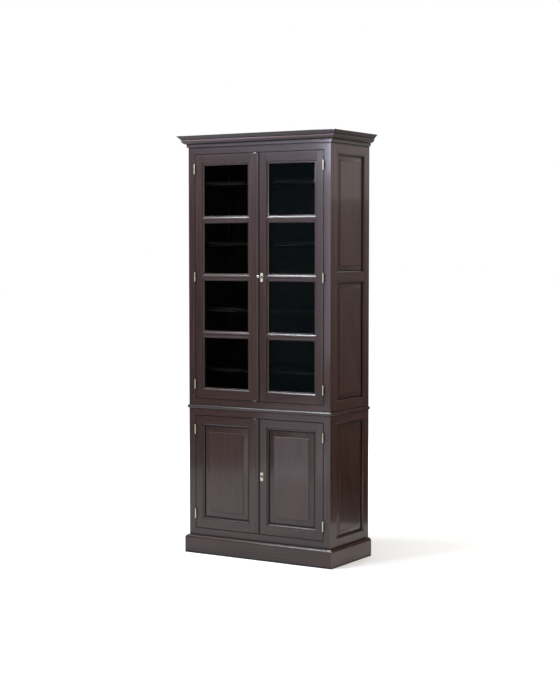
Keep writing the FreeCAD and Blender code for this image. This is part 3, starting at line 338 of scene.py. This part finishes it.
def wood(name, tones, axes, roughness, lacquer=0.0, edge_wear_and_highlight=WEAR_AND_HIGHLIGHT, highlight_bands=()):
    """Stained wood with its grain along an axis, or along two on a mitred moulding, and satin lacquer on it.

    Highlight bands are the low and high levels between which a moulding is lightened, as wear and as a
    painted highlight, and how strongly.
    """
    shader = Shader(name)
    place, island = shader.place()

    # the stain, with its figure, fibres and open pores
    figure = shader.noise(along_grain(shader, place, axes, FIGURE), 1.0, detail=3.0, roughness=0.55)
    fibres = shader.noise(along_grain(shader, place, axes, FIBRES), 1.0, detail=3.0, roughness=0.65)
    pores = shader.noise(along_grain(shader, place, axes, PORES), 1.0, detail=1.0)
    tone = shader.math("ADD", shader.math("MULTIPLY", figure, FIGURE_SHARE),
                       shader.math("MULTIPLY", fibres, 1 - FIGURE_SHARE))
    tone = shader.math("ADD", tone, shader.span(island, 0, 1, *SOLID_TONES))
    stain = shader.blend(shader.span(tone, *STAIN_SPAN), *tones)
    open_pore = shader.span(pores, *PORE_SPAN)
    stain = shader.blend(shader.math("MULTIPLY", open_pore, PORE_COVER), stain, darker(tones[0], PORE_TONE))

    # arrises and bands made lighter, as wear and as a painted highlight
    rub_and_sheen = shader.math("MULTIPLY", shader.nearness(RUB_AND_SHEEN_REACH, True),
                         shader.span(fibres, 0.3, 0.6, 0.6, 1.0))
    stain = shader.blend(shader.span(rub_and_sheen, *RUB_AND_SHEEN_SPAN, 0.0, RUB_AND_SHEEN_COVER), stain, edge_wear_and_highlight)
    for low, high, strength in highlight_bands:
        height = shader.axes()["Z"]
        highlight_band = shader.math("MULTIPLY", shader.span(height, low, low + HIGHLIGHT_BAND_FADE),
                           shader.span(height, high, high - HIGHLIGHT_BAND_FADE))
        highlight_band = shader.math("MULTIPLY", highlight_band, shader.span(fibres, *NOISE_SPAN, 0.5 * strength, strength))
        stain = shader.blend(highlight_band, stain, edge_wear_and_highlight)

    # painted shade in corners and, on lacquered wood, along the joints, where the lacquer's coat is taken
    # away too so that these places reflect less
    painted_shade = shader.span(shader.nearness(SHADE_REACH, False), *SHADE_SPAN)
    coat = 0.0
    if lacquer:
        painted_shade = shader.math("MAXIMUM", painted_shade, joint_shade_lines(shader))
        coat = shader.math("MULTIPLY", shader.math("SUBTRACT", 1.0, painted_shade), lacquer)
    stain = shader.blend(shader.math("MULTIPLY", painted_shade, SHADE_COVER), stain, darker(tones[0], SHADE_TONE))

    cloud = shader.noise(place, CLOUDS, detail=2.0)
    relief = shader.math("SUBTRACT", shader.math("MULTIPLY", fibres, FIBRE_RISE),
                         shader.math("MULTIPLY", open_pore, PORE_DEPTH))
    bump = shader.add("Bump", Strength=0.12, Distance=0.4 * MM, Height=relief)
    clouded = shader.span(cloud, *NOISE_SPAN, *(roughness + change for change in CLOUD_ROUGHNESS))
    shader.feed(
        shader.surface,
        Base_Color=stain,
        Roughness=shader.math("ADD", clouded, shader.span(fibres, *NOISE_SPAN, *FIBRE_ROUGHNESS)),
        Normal=bump.outputs["Normal"],
        Specular_IOR_Level=0.18 if lacquer else 0.08,
        Coat_Weight=coat,
        Coat_Roughness=0.10,
        Coat_IOR=1.45,
    )
    return shader.material


def metal(name, tones, roughness, keyholes=()):
    """Satin metal with a mottled patina and fine hairlines, with painted shade round any keyholes in it."""
    shader = Shader(name)
    place, island = shader.place()
    patina = shader.noise(place, PATINA, detail=3.0, roughness=0.6)
    hairlines = shader.noise(shader.stretch(place, HAIRLINES), 1.0, detail=2.0)
    tone = shader.math("ADD", shader.span(patina, *NOISE_SPAN), shader.span(island, 0, 1, -0.1, 0.1),
                       clamp=True)
    bump = shader.add("Bump", Strength=0.08, Distance=0.2 * MM, Height=hairlines)
    colour = shader.blend(tone, *tones)
    # a dark patch of painted shade round each keyhole
    for middle in keyholes:
        distance = shader.vector_math("DISTANCE", shader.coordinates(), middle).outputs["Value"]
        ragged = shader.math("ADD", distance, shader.span(patina, 0, 1, -KEYHOLE_SHADE_RAGGED, KEYHOLE_SHADE_RAGGED))
        colour = shader.blend(shader.span(ragged, *KEYHOLE_SHADE_FADE, KEYHOLE_SHADE_COVER, 0.0), colour, KEYHOLE_SHADE)
    shader.feed(
        shader.surface,
        Base_Color=colour,
        Metallic=1.0,
        Roughness=shader.span(patina, *NOISE_SPAN, roughness + DARK_ROUGHER, roughness),
        Normal=bump.outputs["Normal"],
    )
    return shader.material


def glass(name):
    """Clear float glass with the faintest uneven tint."""
    shader = Shader(name)
    place, _ = shader.place()
    film = shader.noise(place, 6.0, detail=4.0, roughness=0.6)
    shader.feed(
        shader.surface,
        Base_Color=shader.blend(film, *GLASS),
        Roughness=0.0,
        Transmission_Weight=1.0,
        IOR=1.45,
    )
    return shader.material


WOODS = {
    "z": wood("dark_wood_upright", DARK_WOOD, "z", LACQUERED, LACQUER),
    "x": wood("dark_wood_across", DARK_WOOD, "x", LACQUERED, LACQUER),
    "y": wood("dark_wood_deep", DARK_WOOD, "y", LACQUERED, LACQUER),
    "zx": wood("dark_wood_door_ring", DARK_WOOD, "zx", LACQUERED, LACQUER),
    "zy": wood("dark_wood_side_ring", DARK_WOOD, "zy", LACQUERED, LACQUER),
    "cornice x": wood("dark_wood_cornice", SHADED_CORNICE_WOOD, "x", LACQUERED, LACQUER,
                      CORNICE_WEAR_AND_HIGHLIGHT, CORNICE_HIGHLIGHT_BANDS),
    "cornice y": wood("dark_wood_cornice_ends", SHADED_CORNICE_WOOD, "y", LACQUERED, LACQUER),
}
INSIDE = {
    "z": wood("inside_wood_upright", SHADED_INSIDE_WOOD, "z", BARE),
    "x": wood("inside_wood_across", SHADED_INSIDE_WOOD, "x", BARE),
    "y": wood("inside_wood_deep", SHADED_INSIDE_WOOD, "y", BARE),
    "back": wood("back_board", BACK_BOARD, "z", BARE),
}
METAL = metal("satin_brass", BRASS, SATIN)
KEY_METAL = metal("key_steel", STEEL, BRIGHT)
PLATE_METAL = metal("keyhole_brass", BRASS, SATIN,
                    [Vector((LOCK_X, ESCUTCHEON_FRONT, level - KEYHOLE_DROP)) * MM
                     for level in LOCK_LEVELS.values()])
SLOT_METAL = metal("screw_slot", GRIME, DULL)
PANE = glass("float_glass")

# which wood the nodes with these endings have; all others stand upright
GRAIN = (
    ("back", ("lower_back", "upper_back")),
    ("cornice x", ("cornice_front",)),
    ("cornice y", ("cornice_ends",)),
    ("x", ("front", "waist_board", "crown_board", "face_rails", "door_rails", "glazing_bars",
           "floors_and_ceiling", "lower_shelf", "upper_shelves")),
    ("y", ("plinth_ends", "side_rails", "shelf_bearers")),
    ("zx", ("door_mouldings", "door_moulding")),
    ("zy", ("side_panel_mouldings",)),
)
SLOTS = {part["node"]: part["material_slot"] for part in frame["record"]["subparts"]}


def grain_of(node):
    return next((grain for grain, endings in GRAIN if node.endswith(endings)), "z")


def material_of(node):
    slot = SLOTS[node]
    if slot == "clear_glass":
        return PANE
    if slot == "brass":
        return KEY_METAL if node == "key" else PLATE_METAL if node.endswith("escutcheon") else METAL
    return (INSIDE if slot == "inside_wood" else WOODS)[grain_of(node)]


# how far the edges are eased, by material slot; nodes with the bores of flush bolts, given by their endings,
# keep nearly square corners, so that the bolts do not cut into them
EDGES = {"dark_wood": 1.3 * MM, "inside_wood": 0.6 * MM, "brass": 0.2 * MM, "clear_glass": 0.3 * MM}
BORED_EDGES = {"face_rails": 0.3 * MM, "bolt_plates": 0.05 * MM}


def edge_of(node):
    return next((width for ending, width in BORED_EDGES.items() if node.endswith(ending)), EDGES[SLOTS[node]])


def ease_edges(piece, width):
    """Takes the sharpness off a piece's edges and keeps its flat faces flat in the shading."""
    weld = piece.modifiers.new("weld", "WELD")
    weld.merge_threshold = 0.01 * MM
    bevel = piece.modifiers.new("eased_edges", "BEVEL")
    bevel.width = width
    bevel.segments = 3
    bevel.limit_method = "ANGLE"
    bevel.angle_limit = math.radians(28)
    bevel.use_clamp_overlap = True
    level = piece.modifiers.new("level_faces", "WEIGHTED_NORMAL")
    level.weight = 100


def dress_cad():
    for name, piece in frame["nodes"].items():
        piece.data.materials.clear()
        piece.data.materials.append(material_of(name))
        ease_edges(piece, edge_of(name))


# ---- fastenings -------------------------------------------------------------------------------------------

def closed_stack(mesh, loops, place, material=0):
    """Adds a solid whose outline steps from loop to loop, closed at both ends."""
    rows = [[mesh.verts.new(place @ Vector(point)) for point in loop] for loop in loops]
    faces = [mesh.faces.new(rows[-1]), mesh.faces.new(rows[0][::-1])]
    for low, high in zip(rows, rows[1:]):
        for step in range(len(low)):
            faces.append(mesh.faces.new((low[step - 1], low[step], high[step], high[step - 1])))
    for face in faces:
        face.material_index = material


def slotted_head(mesh, place, radius, rise):
    """A countersunk screw's head: two half discs either side of a dark slot."""
    gap = SLOT_WIDTH * radius

    def half(turn, reach, height):
        start = math.asin(gap / reach)
        angles = [start + (math.pi - 2 * start) * step / HALF_STEPS for step in range(HALF_STEPS + 1)]
        return [(turn * reach * math.cos(a), turn * reach * math.sin(a), height) for a in angles]

    for turn in (1, -1):
        above = [half(turn, share * radius, height * rise) for share, height in SCREW_OUTLINE]
        closed_stack(mesh, [half(turn, radius, -SUNK), *above], place)
    reach = SLOT_LENGTH * radius
    slot = [(-reach, -gap), (reach, -gap), (reach, gap), (-reach, gap)]
    closed_stack(mesh, [[(*corner, height) for corner in slot] for height in (-SUNK, SLOT_FLOOR * rise)],
                 place, material=1)


def round_head(mesh, place, radius, rise):
    """The domed head of a small nail."""
    def ring(reach, height):
        turns = [2 * math.pi * step / RING_STEPS for step in range(RING_STEPS)]
        return [(reach * math.cos(turn), reach * math.sin(turn), height) for turn in turns]

    above = [ring(share * radius, height * rise) for share, height in NAIL_OUTLINE]
    closed_stack(mesh, [ring(radius, -SUNK), *above], place)


def fastenings(name, body, heads):
    """One piece of small heads, each given as its shape, place, facing, radius and rise, in mm."""
    mesh = bmesh.new()
    for number, (shape, point, facing, radius, rise) in enumerate(heads):
        turned = Vector(facing).to_track_quat("Z", "Y").to_matrix().to_4x4()
        place = Matrix.Translation(Vector(point) * MM) @ turned @ Matrix.Rotation(SLOT_TURN * number, 4, "Z")
        shape(mesh, place, radius * MM, rise * MM)
    data = bpy.data.meshes.new(name)
    mesh.to_mesh(data)
    mesh.free()
    for material in (METAL, SLOT_METAL):
        data.materials.append(material)
    piece = bpy.data.objects.new(name, data)
    bpy.context.collection.objects.link(piece)
    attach(piece, body)


def leaf_screws(side, levels, on_case):
    """The screws of one side's hinge leaves, on the post or on the door."""
    face = side * (DOOR_JOINT + (LEAF_PLAY if on_case else -LEAF_PLAY))
    facing = (-side if on_case else side, 0, 0)
    return [(slotted_head, (face, y, level + up), facing, *HINGE_HEAD)
            for level in levels for up, y in HINGE_SCREWS]


def lock_fixings(level):
    """Pins of the escutcheon, screws of the lock's back and of its edge."""
    pins = [(round_head, (LOCK_X, ESCUTCHEON_FRONT, level + up), (0, -1, 0), *PIN_HEAD)
            for up in ESCUTCHEON_PINS]
    back = [(slotted_head, (LOCK_EDGE + across, DOOR_BACK, level + up), (0, 1, 0), *LOCK_HEAD)
            for across in LOCK_BACK_SCREWS[0] for up in LOCK_BACK_SCREWS[1]]
    edge = [(slotted_head, (LOCK_EDGE, LOCK_EDGE_Y, level + up), (-1, 0, 0), *LOCK_EDGE_HEAD)
            for up in LOCK_EDGE_SCREWS]
    return pins + back + edge


def bolt_fixings(end, up):
    """Screws of a flush bolt's strap, on the door's back, and of its cap, on the door's end."""
    strap = [(slotted_head, (FLUSH_X + across, DOOR_BACK, end - up * down), (0, 1, 0), *STRAP_HEAD)
             for across in STRAP_SCREWS[0] for down in STRAP_SCREWS[1]]
    return strap + [(slotted_head, (FLUSH_X, CAP_SCREW_Y, end), (0, 0, up), *CAP_HEAD)]


def all_fastenings():
    sides = ((-1, "left"), (1, "right"))
    fastenings("case_hinge_screws", "case", [
        head for levels in HINGE_LEVELS.values() for side, _ in sides
        for head in leaf_screws(side, levels, True)
    ])
    fastenings("bearer_screws", "case", [
        (slotted_head, (side * BEARER_FACE, y, top - BEARER_SCREW_DROP), (-side, 0, 0), *BEARER_HEAD)
        for side, _ in sides for top in BEARER_TOPS for y in BEARER_SCREWS
    ])
    for part, levels in HINGE_LEVELS.items():
        for side, word in sides:
            body = f"{part}_{word}_door"
            fastenings(f"{body}_hinge_screws", body, leaf_screws(side, levels, False))
        fastenings(f"{part}_lock_fixings", f"{part}_right_door", lock_fixings(LOCK_LEVELS[part]))
        ends = [head for end, up in FLUSH_ENDS[part] for head in bolt_fixings(end, up)]
        fastenings(f"{part}_bolt_fixings", f"{part}_left_door", ends)


# ---- stage ------------------------------------------------------------------------------------------------

# the floor's radius and number of sides, and the distances over which its own glow grows, with its strengths
FLOOR_RADIUS, FLOOR_SIDES = 60, 96
FLOOR_GLOW = (0.5, 4.0, 0.24, 0.75)
# the floor's darker tone as a share of its colour, and how unevenly high the change of a card's tone starts
FLOOR_MOTTLE = 0.985
CARD_UNEVEN = 0.05

# name, place, aim, width and height, watts, colour, and whether it shows in reflections
LIGHTS = (
    ("key_light", (4.1, 0.5, 2.2), (0.4, 0.0, 1.2), (2.0, 1.7), 128, (1.0, 0.91, 0.82), False),
    ("high_light", (-1.9, -2.6, 3.2), (0.0, -0.2, 1.2), (0.8, 0.7), 68, (0.85, 0.87, 1.0), True),
    ("sheen_light", (-0.86, -2.82, 2.5), (0.4, -0.18, 2.0), (0.34, 0.7), 42, (0.76, 0.78, 1.0), True),
    ("strip_light", (-1.257, -3.399, 1.6), (0.333, -0.855, 1.6), (0.3, 1.6), 9, (0.78, 0.80, 1.0), True),
    ("low_light", (-1.37, -2.85, 0.25), (0.2, -0.18, 0.5), (0.5, 0.5), 1.8, (0.85, 0.90, 1.0), True),
    ("top_light", (-1.4, -0.8, 4.3), (0.0, -0.1, 1.0), (0.9, 0.7), 150, (0.85, 0.95, 1.0), True),
    ("frieze_light", (-1.5, -2.82, 2.35), (-0.4, -0.18, 2.13), (1.3, 0.06), 0.6, (0.80, 0.90, 1.0), True),
    ("back_light", (-1.0, 4.5, 2.6), (0.0, 0.2, 1.1), (1.6, 1.4), 70, (1.0, 0.96, 0.92), False),
)
# name, middle, facing, width, lower and upper edge, tone, and for a tone that changes upwards the one at the
# upper edge and the height at which the change starts
CARDS = (
    ("left_card", (-2.68, -2.51), (0.53, 0.848), 2.0, 0.01, 3.0, (0.001,) * 3),
    ("right_card", (-1.626, -3.169), (0.53, 0.848), 0.47, 0.01, 3.0, (0.026, 0.046, 0.056)),
    ("side_card", (1.0, 0.95), (-0.49, -0.87), 1.8, 0.01, 1.9, (0.003,) * 3, (0.43, 0.46, 0.46), 0.3),
    ("low_card", (2.9, -1.9), (-0.8, 0.6), 3.4, 0.01, 1.0, (0.003,) * 3),
    ("east_card", (3.5, -0.1), (-1.0, 0.0), 2.4, 0.01, 3.2, (0.02,) * 3),
)


def seen_directly(tree):
    """1 for what is seen, directly, mirrored or through glass, and 0 for the light that falls on things."""
    path = tree.nodes.new("ShaderNodeLightPath").outputs
    seen = math_node(tree, "MAXIMUM", path["Is Camera Ray"], path["Is Glossy Ray"])
    seen = math_node(tree, "MAXIMUM", seen, path["Is Transmission Ray"])
    return math_node(tree, "MULTIPLY", seen, math_node(tree, "LESS_THAN", path["Diffuse Depth"], 0.5))


def studio_world():
    """White where it is seen, and a dimmer, cooler light where it falls on things."""
    world = bpy.data.worlds.new("studio")
    bpy.context.scene.world = world
    world.use_nodes = True
    tree = world.node_tree
    light = tree.nodes["Background"]
    white = tree.nodes.new("ShaderNodeBackground")
    for background, colour, strength in ((light, AMBIENT_TINT, AMBIENT), (white, (1, 1, 1), 1.0)):
        background.inputs["Color"].default_value = (*colour, 1)
        background.inputs["Strength"].default_value = strength
    mix = tree.nodes.new("ShaderNodeMixShader")
    tree.links.new(seen_directly(tree), mix.inputs["Fac"])
    tree.links.new(light.outputs[0], mix.inputs[1])
    tree.links.new(white.outputs[0], mix.inputs[2])
    tree.links.new(mix.outputs[0], tree.nodes["World Output"].inputs["Surface"])


def flat_piece(name, corners, shader):
    """A flat stage piece, which isn't part of the bookcase."""
    mesh = bpy.data.meshes.new(name)
    mesh.from_pydata(corners, [], [range(len(corners))])
    mesh.materials.append(shader.material)
    piece = bpy.data.objects.new(name, mesh)
    bpy.context.collection.objects.link(piece)
    return piece


def studio_floor():
    """A wide pale floor that keeps the bookcase's shadow and fades into the white of the world."""
    shader = Shader("pale_floor")
    place = shader.coordinates()
    mottle = shader.noise(place, 3.0, detail=3.0)
    glow = shader.span(shader.vector_math("LENGTH", place).outputs["Value"], *FLOOR_GLOW)
    shader.feed(
        shader.surface,
        Base_Color=shader.blend(mottle, darker(FLOOR, FLOOR_MOTTLE), FLOOR),
        Roughness=0.9,
        Specular_IOR_Level=0.1,
        Emission_Color=(1, 1, 1, 1),
        Emission_Strength=shader.math("MULTIPLY", seen_directly(shader.tree), glow),
    )
    turns = [2 * math.pi * step / FLOOR_SIDES for step in range(FLOOR_SIDES)]
    flat_piece("floor", [(FLOOR_RADIUS * math.cos(turn), FLOOR_RADIUS * math.sin(turn), 0) for turn in turns],
               shader)


def reflection_card(name, middle, facing, width, low, high, tone, top_tone=None, fade=None):
    """An upright card that only reflections show, as a studio shades glass and lacquer.

    Above the height fade, its tone turns into top_tone towards its upper edge.
    """
    shader = Shader(name)
    place = shader.coordinates()
    height = shader.add("SeparateXYZ", Vector=place).outputs["Z"]
    uneven = shader.math("ADD", height,
                         shader.span(shader.noise(place, 2.0), 0, 1, -CARD_UNEVEN, CARD_UNEVEN))
    shader.feed(
        shader.surface,
        Base_Color=shader.blend(shader.noise(place, 4.0), *CARD),
        Roughness=1.0,
        Specular_IOR_Level=0.0,
        Emission_Strength=1.0,
        Emission_Color=shader.blend(shader.span(uneven, fade or low, high), tone, top_tone or tone),
    )
    clear = shader.add("BsdfTransparent")
    reflected = shader.math("GREATER_THAN", shader.add("LightPath").outputs["Glossy Depth"], 0.5)
    mix = shader.add("MixShader", Fac=reflected)
    shader.tree.links.new(clear.outputs[0], mix.inputs[1])
    shader.tree.links.new(shader.surface.outputs[0], mix.inputs[2])
    shader.tree.links.new(mix.outputs[0], shader.tree.nodes["Material Output"].inputs["Surface"])
    across = Vector((-facing[1], facing[0], 0)).normalized() * width / 2
    ends = [Vector((*middle, 0)) + step for step in (-across, across)]
    corners = [(*end.xy, low) for end in ends] + [(*end.xy, high) for end in reversed(ends)]
    card = flat_piece(name, corners, shader)
    card.visible_camera = card.visible_diffuse = card.visible_shadow = False


def soft_light(name, place, aim, size, power, colour, mirrored):
    light = bpy.data.lights.new(name, "AREA")
    light.shape = "RECTANGLE"
    light.size, light.size_y = size
    light.energy = power
    light.color = colour
    lamp = bpy.data.objects.new(name, light)
    lamp.location = place
    lamp.rotation_euler = (Vector(aim) - Vector(place)).to_track_quat("-Z", "Y").to_euler()
    lamp.visible_transmission = False
    lamp.visible_glossy = mirrored
    bpy.context.collection.objects.link(lamp)


def camera():
    lens = bpy.data.cameras.new("camera")
    lens.lens = CAMERA_LENS
    lens.sensor_width = SENSOR_LONG_SIDE
    view = bpy.data.objects.new("camera", lens)
    view.location = CAMERA_PLACE
    view.rotation_euler = (math.radians(CAMERA_TILT), 0, math.radians(CAMERA_TURN))
    bpy.context.collection.objects.link(view)
    bpy.context.scene.camera = view


dress_cad()
all_fastenings()
camera()
studio_world()
studio_floor()
for row in LIGHTS:
    soft_light(*row)
for row in CARDS:
    reflection_card(*row)
bpy.context.scene.view_settings.view_transform = "Standard"
